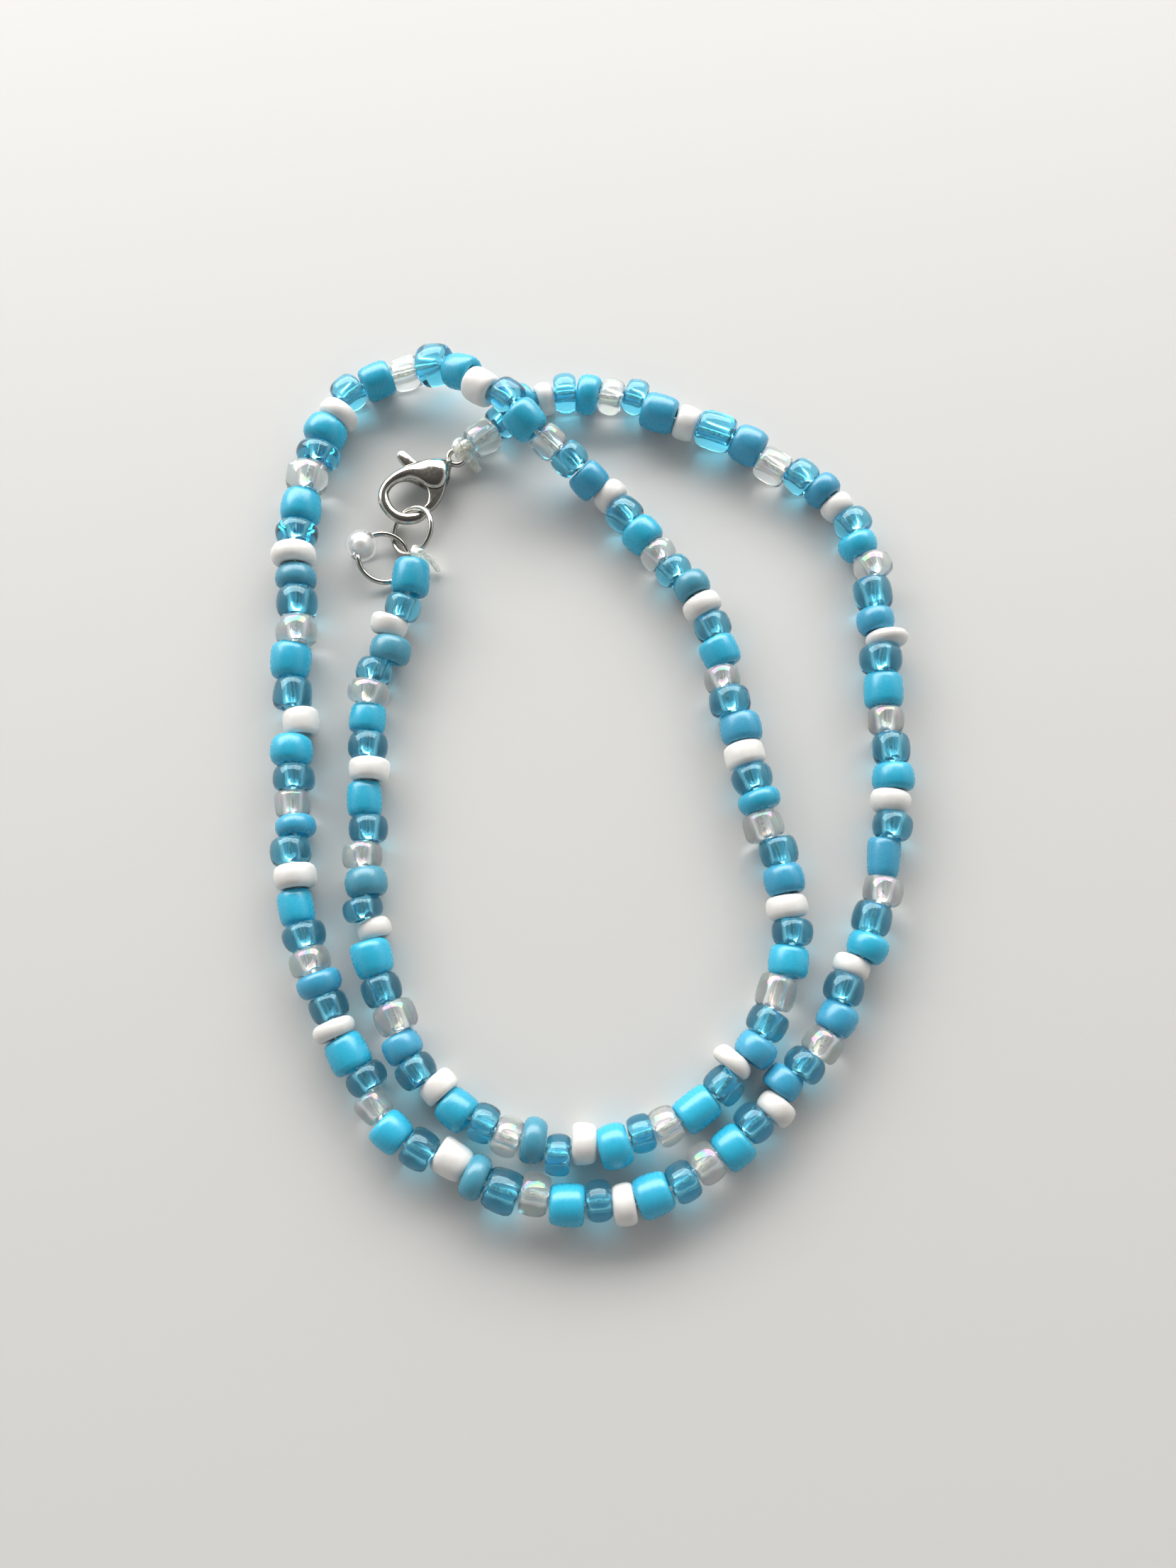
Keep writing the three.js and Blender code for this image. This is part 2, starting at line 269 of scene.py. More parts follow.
def aquaGlass():
    # clear glass whose blue comes from the depth of glass that the light crosses
    material, tree = newFinish("aqua_glass", aquaLook)[:2]
    depth = tree.nodes.new("ShaderNodeVolumeAbsorption")
    depth.inputs["Color"].default_value = (*aquaLook["depthColour"], 1.0)
    depth.inputs["Density"].default_value = aquaLook["depthDensity"]
    tree.links.new(depth.outputs["Volume"], tree.nodes["Material Output"].inputs["Volume"])
    return material


clearLook = {
    "base": (0.84, 0.86, 0.855), "roughness": 0.05,
    "filmNoise": (260.0, 2.0), "filmRange": (280.0, 620.0),  # thickness in nanometres
    "sockets": {"Transmission Weight": 0.87, "IOR": 1.45, "Thin Film IOR": 1.62},
    "roughNoise": (1700.0, 3.0), "roughRange": (0.03, 0.10),
    "bumpNoise": (800.0, 3.0), "bump": (0.00005, 0.3),
}


def rainbowClear():
    # colourless glass with a thin rainbow film of uneven thickness
    material, tree, shader = newFinish("clear_rainbow_glass", clearLook)
    film = addRange(tree, addNoise(tree, *clearLook["filmNoise"]), *clearLook["filmRange"])
    tree.links.new(film, shader.inputs["Thin Film Thickness"])
    return material


metalLook = {
    "base": (0.47, 0.45, 0.415), "roughness": 0.1,
    "cloudNoise": (350.0, 5.0), "clouds": [(0.3, (0.43, 0.41, 0.37)), (0.7, (0.51, 0.495, 0.46))],
    "sockets": {"Metallic": 1.0},
    "roughNoise": (2200.0, 5.0), "roughRange": (0.06, 0.17),
    "bumpNoise": (3200.0, 4.0), "bump": (0.00002, 0.035),
}


def brightMetal():
    # polished nickel-coloured plating with faint rubbing marks
    material, tree, shader = newFinish("bright_metal", metalLook)
    base = addRamp(tree, addNoise(tree, *metalLook["cloudNoise"]), metalLook["clouds"])
    tree.links.new(base, shader.inputs["Base Color"])
    return material


slotLook = {
    "base": (0.46, 0.45, 0.43), "roughness": 0.5,
    "sockets": {"Metallic": 0.7},
    "roughNoise": (1800.0, 4.0), "roughRange": (0.42, 0.62),
    "bumpNoise": (2400.0, 4.0), "bump": (0.00003, 0.2),
}


def castMetal():
    # the unpolished walls of the clasp's slot
    return newFinish("cast_metal", slotLook)[0]


pearlLook = {
    "base": (0.82, 0.79, 0.76), "roughness": 0.22,
    "cloudNoise": (300.0, 2.0),
    "clouds": [(0.3, (0.80, 0.74, 0.70)), (0.5, (0.84, 0.81, 0.78)), (0.7, (0.77, 0.80, 0.77))],
    "sockets": {"Metallic": 0.6, "Coat Weight": 0.3, "Coat Roughness": 0.05},
    "roughNoise": (2000.0, 3.0), "roughRange": (0.16, 0.28),
    "bumpNoise": (1500.0, 3.0), "bump": (0.00002, 0.2),
}


def pearlLustre():
    # a pale, half metallic body under a clear coat, with soft pink and green clouds
    material, tree, shader = newFinish("pearl_lustre", pearlLook)
    base = addRamp(tree, addNoise(tree, *pearlLook["cloudNoise"]), pearlLook["clouds"])
    tree.links.new(base, shader.inputs["Base Color"])
    return material


skinLook = {
    "base": (0.93, 0.93, 0.935), "roughness": 0.1,
    "sockets": {"Transmission Weight": 0.88, "IOR": 1.33},
    "roughNoise": (1600.0, 3.0), "roughRange": (0.06, 0.14),
    "bumpNoise": (900.0, 3.0), "bump": (0.00003, 0.2),
}


def milkyGlass():
    # the clear skin round the pearl
    return newFinish("milky_glass", skinLook)[0]


threadLook = {
    "base": (0.93, 0.92, 0.84), "roughness": 0.3,
    "cloudNoise": (700.0, 4.0), "clouds": [(0.3, (0.90, 0.89, 0.78)), (0.7, (0.97, 0.96, 0.91))],
    "sockets": {"Transmission Weight": 0.62, "IOR": 1.46},
    "roughNoise": (2500.0, 3.0), "roughRange": (0.18, 0.42),
    "bumpNoise": (1500.0, 3.0), "bump": (0.00005, 0.4),
}


def clearThread():
    # stretchy clear thread, a little yellowed, with a grainy skin
    material, tree, shader = newFinish("clear_thread", threadLook)
    base = addRamp(tree, addNoise(tree, *threadLook["cloudNoise"]), threadLook["clouds"])
    tree.links.new(base, shader.inputs["Base Color"])
    return material


# Surfaces: grids of points, carried as whole arrays
tubeEnd = {"reach": (0.7, 1.0), "width": (0.75, 0.25)}  # the two rings that round off an open end, in radii


def gridFaces(rows, columns, closeRows, closeColumns):
    # the four-cornered faces between neighbouring rows and columns of a grid, wrapped where it closes
    row = np.arange(rows if closeRows else rows - 1)[:, None] * columns
    column = np.arange(columns if closeColumns else columns - 1)[None, :]
    nextRow, nextColumn = (row + columns) % (rows * columns), (column + 1) % columns
    corners = [row + column, row + nextColumn, nextRow + nextColumn, nextRow + column]
    return np.stack(corners, axis=-1).reshape(-1, 4)


def putMesh(name, points, faces, material, attributes=None):
    # a smooth mesh of one material, with one value at each point for every attribute
    mesh = bpy.data.meshes.new(name)
    mesh.from_pydata(np.asarray(points).reshape(-1, 3), [], faces)
    mesh.materials.append(material)
    for key, values in (attributes or {}).items():
        layer = mesh.attributes.new(key, "FLOAT", "POINT")
        layer.data.foreach_set("value", np.asarray(values, np.float32))
    mesh.polygons.foreach_set("use_smooth", np.ones(len(mesh.polygons), bool))
    mesh.update()
    piece = bpy.data.objects.new(name, mesh)
    bpy.context.collection.objects.link(piece)
    return piece


def settle(piece, slot, *nodes, body="necklace"):
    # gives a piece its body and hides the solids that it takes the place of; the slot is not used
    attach(piece, body)
    if nodes:
        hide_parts(*nodes)


def unit(vectors):
    # each vector divided by its length
    return vectors / np.linalg.norm(vectors, axis=-1, keepdims=True)


def turnAbout(axis, angle):
    # the matrix of a turn about axis 0, 1 or 2: the cosine keeps the other two, the sine trades them
    first, second = (axis + 1) % 3, (axis + 2) % 3
    matrix = np.eye(3)
    matrix[first, first] = matrix[second, second] = np.cos(angle)
    matrix[second, first], matrix[first, second] = np.sin(angle), -np.sin(angle)
    return matrix


def squareWave(angle, power):
    # cosine and sine raised to a power with their signs kept: below 1 it fills a circle out to a square
    cosine, sine = np.cos(angle), np.sin(angle)
    return np.sign(cosine) * np.abs(cosine) ** power, np.sign(sine) * np.abs(sine) ** power


def smoothPath(knots, each):
    # centripetal Catmull-Rom: between two knots a cubic whose end slopes come from the neighbours,
    # weighted by the square roots of the distances; the ends reach on in a straight line
    knots = np.asarray(knots, float)
    ends = np.vstack([2 * knots[0] - knots[1], knots, 2 * knots[-1] - knots[-2]])
    gaps = np.sqrt(np.linalg.norm(np.diff(ends, axis=0), axis=1))[:, None]
    before, own, after = gaps[:-2], gaps[1:-1], gaps[2:]
    p0, p1, p2, p3 = ends[:-3], ends[1:-2], ends[2:-1], ends[3:]
    slope1 = ((p1 - p0) / before - (p2 - p0) / (before + own) + (p2 - p1) / own) * own
    slope2 = ((p2 - p1) / own - (p3 - p1) / (own + after) + (p3 - p2) / after) * own
    t = (np.arange(each) / each)[None, :, None]
    p1, p2, slope1, slope2 = (values[:, None, :] for values in (p1, p2, slope1, slope2))
    bend = 3 * (p2 - p1) - 2 * slope1 - slope2
    twist = 2 * (p1 - p2) + slope1 + slope2
    curve = p1 + slope1 * t + bend * t**2 + twist * t**3
    return np.vstack([curve.reshape(-1, knots.shape[1]), knots[-1:]])


def alongPath(path):
    # the distance from the path's start to each of its points
    return np.concatenate([[0.0], np.cumsum(np.linalg.norm(np.diff(path, axis=0), axis=1))])


def tube(path, radius, sides, outward, closed=False):
    # a circle of the given radius carried along a path; outward is the direction of its first corner, one
    # for all of the path or, where it is closed, one for each point, and is made square to the path. An
    # open end is rounded by two smaller rings and a cap
    path = np.asarray(path, float)
    radius = np.broadcast_to(np.asarray(radius, float), len(path))
    if closed:
        tangent = unit(np.roll(path, -1, 0) - np.roll(path, 1, 0))
    else:
        tangent = unit(np.gradient(path, axis=0))
        start, end = tangent[0] * radius[0], tangent[-1] * radius[-1]
        near, far = tubeEnd["reach"]
        wide, narrow = tubeEnd["width"]
        path = np.vstack([
            path[0] - far * start, path[0] - near * start, path, path[-1] + near * end, path[-1] + far * end])
        radius = np.concatenate([
            [narrow * radius[0], wide * radius[0]], radius, [wide * radius[-1], narrow * radius[-1]]])
        tangent = np.vstack([tangent[:1], tangent[:1], tangent, tangent[-1:], tangent[-1:]])
    side = unit(np.cross(tangent, outward))
    out = np.cross(side, tangent)
    angle = (np.arange(sides) / sides * turn)[None, :, None]
    around = np.cos(angle) * out[:, None, :] + np.sin(angle) * side[:, None, :]
    points = path[:, None, :] + radius[:, None, None] * around
    faces = gridFaces(len(path), sides, closed, True)[:, ::-1].tolist()
    if not closed:
        last = (len(path) - 1) * sides
        faces += [list(range(sides)), list(range(last + sides - 1, last - 1, -1))]
    return points.reshape(-1, 3), faces


def joined(parts):
    # several (points, faces) pairs as one
    points, faces, count = [], [], 0
    for part, corners in parts:
        points.append(part)
        faces += [[corner + count for corner in face] for face in corners]
        count += len(part)
    return np.vstack(points), faces


# The string of beads. In the chart one row is one repeat of the pattern, and each bead has its tone,
# its length and diameter in tenths of a millimetre, and how far it sits left of the string, in tenths:
# T turquoise, M mid blue, S slate, A aqua, W white, C clear
beadString = {
    "route": [
        (-0.02005, 0.0226), (-0.0204, 0.0195), (-0.0224, 0.0135), (-0.0239, 0.0070), (-0.0237, -0.0135),
        (-0.0214, -0.0245), (-0.0156, -0.0350), (-0.0060, -0.0403), (0.0050, -0.0398), (0.0150, -0.0334),
        (0.0206, -0.0228), (0.0203, -0.0110), (0.0172, 0.0000), (0.0147, 0.0116), (0.0100, 0.0216),
        (0.0024, 0.0304), (-0.0064, 0.0382), (-0.0116, 0.0427), (-0.0178, 0.0460), (-0.0244, 0.0454),
        (-0.0294, 0.0410), (-0.0321, 0.0334), (-0.0330, 0.0220), (-0.0323, 0.0040), (-0.0317, -0.0078),
        (-0.0298, -0.0192), (-0.0260, -0.0292), (-0.0194, -0.0389), (-0.0086, -0.0449), (0.0036, -0.0461),
        (0.0144, -0.0409), (0.0224, -0.0327), (0.0281, -0.0228), (0.0320, -0.0110), (0.0330, 0.0050),
        (0.0318, 0.0215), (0.0246, 0.0333), (0.0000, 0.0439), (-0.0056, 0.0432), (-0.0134, 0.0369),
    ],
    "chart": [
        "T41/43+4 A27/40+4 W23/42-3 S29/46+8 A26/40-3 C26/47-3",
        "T32/40-1 A30/44+2 W25/45+5 T38/38+0 A29/43+5 C28/43-2",
        "S31/46+1 A24/44-5 W22/37+4 T38/44-3 A31/42-3 C32/44+1",
        "M28/42-5 A29/43-5 W24/40+3 T35/40-2 A27/40+1 C28/42-1",
        "S26/47+3 A26/42-8 W26/42+3 T34/45-3 A26/40+2 C28/40-1",
        "T42/38-3 A30/41-2 W19/44+8 M29/43-4 A30/43-1 C36/42+2",
        "T33/41-3 A28/44-5 W25/44-1 M32/44-2 A31/42-2 C31/42+7",
        "T23/47+2 A28/46+1 W27/44+1 M34/45-2 A30/46+4 C26/41+6",
        "T34/42-1 A28/41-5 W24/44-4 S28/44-5 A26/42+2 C26/41+4",
        "T33/44+3 A32/43+0 W25/40-5 M32/43+0 A29/43-1 C28/39+2",
        "T37/44+5 A32/39-3 W33/40+5 T35/42-4 A34/49-7 C33/39-4",
        "T37/42-3 A32/42-9 W23/47+3 T33/50+2 A26/50+4 C34/48-1",
        "T40/46-1 A27/48-2 W25/51-3 S27/46+1 A35/48+4 C31/48+4",
        "T40/45-3 A35/43-1 W31/40+8 T33/47-1 A28/45+2 C29/39+0",
        "M22/44+3 A30/44-4 W27/46-1 T37/38-5 A28/46-1 C26/45-2",
        "M25/46+1 A28/41+2 W19/45-2 T38/42+0 A26/43+5 C29/37-4",
        "T33/41-7 A32/42-2 W35/39+7 S24/47+2 A36/44-1 C30/43+4",
        "T37/43-1 A27/43+4 W24/42-2 T37/43-1 A28/42-2 C30/43+2",
        "T34/43-1 A29/43+4 W24/41-3 M28/40+8 A27/43+1 C29/42-3",
        "M32/42-3 A30/44+4 W21/39+5 T28/44-3 A34/43+2 C29/43-2",
        "M43/36+3 A28/44-2 W25/44+1 T30/45-2 A34/42-1 C30/40+3",
        "T39/43+4 A31/48+6 W17/47-3 M28/43+7 A37/44+4 C28/43-6",
        "T27/44+0 A28/43-8 W23/38-5 M27/43-4 A31/42+0 C37/40+8",
        "M38/45+0 A44/44+0 W27/40+2 M41/44+2 A26/41-10 C27/42-2",
        "T27/46+2 A28/46+1 W21/39+1 T27/41-8 A34/40-4 C35/40-3",
    ],
    "crossing": (-0.0092, 0.0407), "crossingRise": 4.4 * mm, "crossingSpan": 16 * mm,
    "startRise": 1.0 * mm, "startSpan": 12 * mm, "routeSteps": 60, "slopeStep": 0.5 * mm,
    "hole": 0.7 * mm, "fill": 0.965, "rows": 14, "sides": 18,
    "squareness": {"T": 2.6, "M": 2.4, "S": 2.25, "A": 2.3, "W": 2.65, "C": 2.5},
    "squareGrowth": 2.2, "plainLength": 0.72, "squareLimits": (2.05, 5.0),  # longer beads are squarer
    "tones": {"T": 0.0, "M": 0.5, "S": 1.0, "A": 0.0, "W": 0.0, "C": 0.0},
    "spread": {"square": 0.22, "taper": 0.035, "oval": 0.022, "slant": 0.025, "yaw": 0.055, "pitch": 0.03,
               "vary": 0.05, "tone": 0.07},
    "threadRadius": 0.3 * mm, "threadSides": 8, "threadSteps": 3,
}


def fade(distance, span):
    # half a cosine wave from 1 down to 0 over the span
    return np.where(np.abs(distance) < span, 0.5 + 0.5 * np.cos(np.pi * distance / span), 0.0)


def layBeads():
    # sets the beads end to end along the route, each resting on the table by its own radius,
    # lifted where the first turn rides over the second and where the first bead lies on the ring
    route = smoothPath(beadString["route"], beadString["routeSteps"])
    along = alongPath(route)
    words = " ".join(beadString["chart"]).split()
    tone = np.array([word[0] for word in words])
    length = np.array([int(word[1:3]) for word in words]) / 10 * mm
    radius = np.array([int(word[4:6]) for word in words]) / 20 * mm
    shift = np.array([int(word[6:]) for word in words]) / 10 * mm
    length = length * along[-1] / length.sum()
    place = np.cumsum(length) - length / 2
    near = np.linalg.norm(route - np.array(beadString["crossing"]), axis=1)
    near[len(near) // 2:] = np.inf  # the first turn's pass, not the second's
    crossing = along[near.argmin()]

    def lift(at):
        # how far the string is raised, at a distance along the route
        return (beadString["crossingRise"] * fade(at - crossing, beadString["crossingSpan"])
                + beadString["startRise"] * fade(at, beadString["startSpan"]))

    def onRoute(at, height):
        # the route's points at the given distances along it, raised to the given heights
        x, y = (np.interp(at, along, route[:, axis]) for axis in (0, 1))
        return np.stack([x, y, height], axis=1)

    step = beadString["slopeStep"]
    ahead, behind = (onRoute(at, lift(at)) for at in (place + step, place - step))
    tangent = unit(ahead - behind)
    left = unit(np.cross(upward, tangent))
    spot = onRoute(place, radius + lift(place)) + left * shift[:, None]
    slope = (lift(place + step) - lift(place - step)) / (2 * step)
    length = length * np.sqrt(1 + slope**2)  # the beads on a slope fill its length
    return {"tone": tone, "length": length, "radius": radius, "spot": spot, "tangent": tangent, "left": left}


def beadShells(beads, picked):
    # each bead is a ring: its section is a squarish oval between the hole and the outside, whose squareness
    # follows its tone and length, turned round the thread, then tilted, tapered and made slightly oval
    count, spread = len(picked), beadString["spread"]
    rows, sides = beadString["rows"], beadString["sides"]
    letters = beads["tone"][picked]
    length, radius = beads["length"][picked] * beadString["fill"], beads["radius"][picked]
    square = np.array([beadString["squareness"][letter] for letter in letters])
    square = square + beadString["squareGrowth"] * (length / radius / 2 - beadString["plainLength"])
    square = np.clip(square + draw.normal(0, spread["square"], count), *beadString["squareLimits"])
    taper = draw.normal(0, spread["taper"], count)[:, None, None]
    oval = np.abs(draw.normal(0, spread["oval"], count))[:, None, None]
    slant = draw.normal(0, spread["slant"], count)[:, None, None]
    phase = draw.uniform(0, turn, count)[:, None, None]
    yaw = draw.normal(0, spread["yaw"], count)[:, None]
    pitch = draw.normal(0, spread["pitch"], count)[:, None]
    phi = (np.arange(rows) / rows * turn)[None, :, None]
    theta = (np.arange(sides) / sides * turn)[None, None, :]
    wide, long = squareWave(phi, (2 / square)[:, None, None])
    outer, hole = radius[:, None, None], beadString["hole"]
    out = (outer + hole) / 2 + (outer - hole) / 2 * wide
    outside = np.clip((out - hole) / (outer - hole), 0, 1)  # 0 in the hole, 1 on the outside
    out = out * (1 + outside * (taper * long + oval * np.cos(2 * theta + phase)))
    axial = length[:, None, None] / 2 * long * (1 + slant * np.cos(theta + phase) * outside)
    tangent = unit(beads["tangent"][picked] + beads["left"][picked] * yaw + upward * pitch)
    left = unit(np.cross(upward, tangent))
    over = np.cross(tangent, left)
    reaches = ((axial, tangent), (out * np.cos(theta), left), (out * np.sin(theta), over))
    points = beads["spot"][picked][:, None, None, :] + sum(
        reach[..., None] * direction[:, None, None, :] for reach, direction in reaches)
    lowest = points[..., 2].min(axis=(1, 2))
    points[..., 2] -= np.minimum(lowest, 0)[:, None, None]  # none dips into the table
    faces = gridFaces(rows, sides, True, True)
    faces = (faces[None] + (np.arange(count) * rows * sides)[:, None, None]).reshape(-1, 4)
    vary = draw.normal(1.0, spread["vary"], count)
    tone = np.array([beadString["tones"][letter] for letter in letters])
    tone = np.clip(tone + draw.normal(0, spread["tone"], count), 0, 1)
    return points, faces, {"tone": np.repeat(tone, rows * sides), "vary": np.repeat(vary, rows * sides)}


def stringBeads():
    # one piece for each finish; the blue one takes the place of both solid turns of the string
    beads = layBeads()
    turns = ["bead_string_inner_turn", "bead_string_outer_turn"]
    kinds = [
        ("blue_beads", "TMS", opaqueBlue(), "blue_glass", turns),
        ("aqua_beads", "A", aquaGlass(), "aqua_glass", []),
        ("white_beads", "W", opaqueWhite(), "white_glass", []),
        ("clear_beads", "C", rainbowClear(), "clear_glass", []),
    ]
    for name, letters, material, slot, nodes in kinds:
        picked = np.flatnonzero(np.isin(beads["tone"], list(letters)))
        points, faces, attributes = beadShells(beads, picked)
        settle(putMesh(name, points, faces, material, attributes), slot, *nodes)
        print(name, len(picked), "beads,", len(faces), "faces")
    return beads


# The thread through the beads and its knots, in millimetres and degrees; a knot's lean and roll in radians
ties = {
    "sides": 12, "knotSteps": 96, "tailSteps": 8, "tailTaper": (1.0, 0.8),
    "claspKnot": {"centre": (-14.35, 37.05, 1.6), "size": 0.33, "thread": 0.64, "lean": 0.5, "roll": 0.2},
    "ringKnot": {"centre": (-19.25, 23.65, 2.15), "size": 0.22, "thread": 0.42, "lean": 0.3, "roll": 0.6},
    "claspLaps": {"angles": (163.0, 197.0), "loop": 0.72, "thread": 0.32},
    "ringLaps": {"angles": (-73.0,), "loop": 0.58, "thread": 0.24},
    "claspTail": [(-14.0, 36.6, 1.2), (-13.5, 35.8, 0.8), (-13.0, 35.2, 0.6)],
    "ringTail": [(-18.9, 24.0, 1.8), (-18.1, 23.6, 1.4), (-17.5, 23.0, 0.9), (-17.2, 22.6, 0.6)],
}


def knot(centre, size, thread, lean, roll):
    # a trefoil: two turns round a ring while it goes three times through it, thickened to a tube
    t = np.arange(ties["knotSteps"]) / ties["knotSteps"] * turn
    x, y, z = np.sin(t) + 2 * np.sin(2 * t), np.cos(t) - 2 * np.cos(2 * t), -np.sin(3 * t)
    path = np.stack([x, y, z], axis=1) * size @ turnAbout(0, lean).T @ turnAbout(1, roll).T
    return tube((path + np.array(centre)) * mm, thread * mm, ties["sides"], unit(path), closed=True)


def laps(ringRadius, angles, loop, thread):
    # closed turns of thread round the wire of a ring, one at each angle, in the ring's own frame
    t = (np.arange(ties["knotSteps"]) / ties["knotSteps"] * turn)[:, None]
    parts = []
    for angle in np.radians(angles):
        outward = np.array([np.cos(angle), np.sin(angle), 0.0])
        around = np.cos(t) * outward + np.sin(t) * upward
        parts.append(tube(outward * ringRadius + around * loop, thread, ties["sides"], around, closed=True))
    return joined(parts)


def stringThread(beads):
    # one thread from knot to knot through the middle of every bead, then the knots with their laps and tails
    material = clearThread()
    start, end = (np.array(ties[key]["centre"]) * mm for key in ("ringKnot", "claspKnot"))
    path = smoothPath(np.vstack([start, beads["spot"], end]), beadString["threadSteps"])
    points, faces = tube(path, beadString["threadRadius"], beadString["threadSides"], upward)
    settle(putMesh("bead_thread", points, faces, material), "thread")
    claspTurns, claspFaces = laps(clasp["eyeRadius"], **ties["claspLaps"])
    ringTurns, ringFaces = laps(rings["jump"]["radius"], **ties["ringLaps"])
    ends = [
        ("clasp", "clasp_knot", "clasp_thread_tie", (claspPlace(claspTurns), claspFaces)),
        ("ring", "ring_knot", "ring_thread_tie", (ringPlace(ringTurns, rings["jump"]), ringFaces)),
    ]
    for key, name, node, turns in ends:
        tied = ties[key + "Knot"]
        loose = smoothPath(np.array(ties[key + "Tail"]) * mm, ties["tailSteps"])
        thickness = np.linspace(*ties["tailTaper"], len(loose)) * tied["thread"] * mm
        tail = tube(loose, thickness, ties["sides"], upward)
        points, faces = joined([knot(**tied), tail, turns])
        settle(putMesh(name, points, faces, material), "thread", node)
    print("thread and knots tied")


# The claw clasp, in its own frame: x from the eye to the hook, y towards the gate, z up, in millimetres
clasp = {
    "eye": (-15.3, 36.2, 1.34), "heading": -135.6, "pitch": 2.5,
    "eyeRadius": 0.95, "eyeWire": 0.32, "eyeSteps": 48, "eyeSides": 16,
    "sides": 36, "each": 5, "sharpAngle": 38.0,
    "endRounding": ((0.10, 0.9), (0.17, 0.6), (0.2, 0.2)),  # how far past the end, and the share of its size
    "outer": [(0.85, -0.42), (1.70, -1.25), (2.80, -2.05), (3.70, -2.50), (4.40, -2.80), (5.10, -3.10),
              (5.90, -3.33), (6.90, -3.50), (8.15, -3.45), (9.30, -3.05), (10.15, -2.30), (10.68, -1.30),
              (10.85, 0.05), (10.60, 1.40), (9.85, 2.45), (8.70, 3.15), (7.55, 3.26)],
    "inner": [(0.95, 0.38), (1.60, 0.75), (2.70, 1.60), (4.10, 1.85), (5.05, 1.10), (5.55, -0.45),
              (6.15, -1.60), (7.05, -2.20), (8.00, -2.28), (8.78, -1.98), (9.20, -1.38), (9.45, -0.68),
              (9.55, 0.10), (9.35, 0.85), (8.90, 1.45), (8.20, 1.95), (7.45, 2.18)],
    "half": [0.45, 0.85, 1.12, 1.15, 1.10, 0.95, 0.72, 0.58, 0.54, 0.53, 0.53, 0.53, 0.53, 0.53, 0.51,
             0.48, 0.42],
    "square": [2.1, 2.3, 2.6, 2.75, 2.75, 2.6, 2.3] + [2.1] * 10,
    "slot": [(2.4, 3.0), (2.4, -1.5), (2.2, -5.0), (5.65, -5.0), (5.6, -3.4), (5.3, -2.2), (5.2, -0.8),
             (6.2, 0.5), (6.2, 3.0)],
    "slotHalf": 0.55,
}


def claspPlace(points):
    # from the clasp's own frame to the necklace's: the hook is lifted by the pitch, turned to the heading
    # and moved to the eye
    heading, pitch = np.radians(clasp["heading"]), np.radians(clasp["pitch"])
    forward = np.array([np.cos(heading) * np.cos(pitch), np.sin(heading) * np.cos(pitch), np.sin(pitch)])
    gate = np.array([-np.sin(heading), np.cos(heading), 0.0])
    axes = np.stack([forward, gate, np.cross(forward, gate)])
    return (np.asarray(points, float) @ axes + np.array(clasp["eye"])) * mm


def clawBlank():
    # sections carried from the eye to the hook's tip, each a squarish oval between its outer and inner edge,
    # with smaller sections and a cap that round off each end
    sides = clasp["sides"]
    shape = np.stack([clasp["half"], clasp["square"]], axis=1)
    rows = smoothPath(np.hstack([clasp["outer"], clasp["inner"], shape]), clasp["each"])
    outer, inner, half, square = rows[:, :2], rows[:, 2:4], rows[:, 4], rows[:, 5]
    middle, reach = (outer + inner) / 2, (inner - outer) / 2
    heading = unit(np.gradient(middle, axis=0))
    past, size = np.array(clasp["endRounding"]).T
    before, after = past[::-1, None] * heading[0], past[:, None] * heading[-1]
    middle = np.vstack([middle[0] - before, middle, middle[-1] + after])
    reach = np.vstack([reach[0] * size[::-1, None], reach, reach[-1] * size[:, None]])
    half = np.concatenate([half[0] * size[::-1], half, half[-1] * size])
    square = np.pad(square, len(size), mode="edge")
    angle = (np.arange(sides) / sides * turn)[None, :]
    across, high = squareWave(angle, 2 / square[:, None])
    flat = middle[:, None, :] + reach[:, None, :] * across[..., None]
    points = np.concatenate([flat, (half[:, None] * high)[..., None]], axis=-1)
    faces = gridFaces(len(middle), sides, False, True).tolist()
    last = (len(middle) - 1) * sides
    faces += [list(range(sides - 1, -1, -1)), list(range(last, last + sides))]
    return points.reshape(-1, 3), faces


def prism(outline, half):
    # an outline drawn at two heights and joined by walls
    outline = np.asarray(outline, float)
    count = len(outline)
    points = np.vstack([np.c_[outline, np.full(count, -half)], np.c_[outline, np.full(count, half)]])
    faces = gridFaces(2, count, False, True).tolist()
    faces += [list(range(count - 1, -1, -1)), list(range(count, 2 * count))]
    return points, faces


def ringPoints(radius, wire, steps, sides):
    # a circle of wire: a small circle carried round a large one
    angle = np.arange(steps) / steps * turn
    path = np.stack([radius * np.cos(angle), radius * np.sin(angle), 0 * angle], axis=1)
    return tube(path, wire, sides, unit(path), closed=True)


def cutSlot(piece, points, faces):
    # takes the slot's block out of the claw and gives the slot's walls the block's material
    block = putMesh("slot_block", points, faces, castMetal())
    cut = piece.modifiers.new("slot", "BOOLEAN")
    cut.operation, cut.object, cut.solver = "DIFFERENCE", block, "EXACT"
    cut.material_mode = "TRANSFER"
    seen = bpy.context.evaluated_depsgraph_get()
    mesh = bpy.data.meshes.new_from_object(piece.evaluated_get(seen))
    piece.modifiers.clear()
    piece.data = mesh
    bpy.data.objects.remove(block)


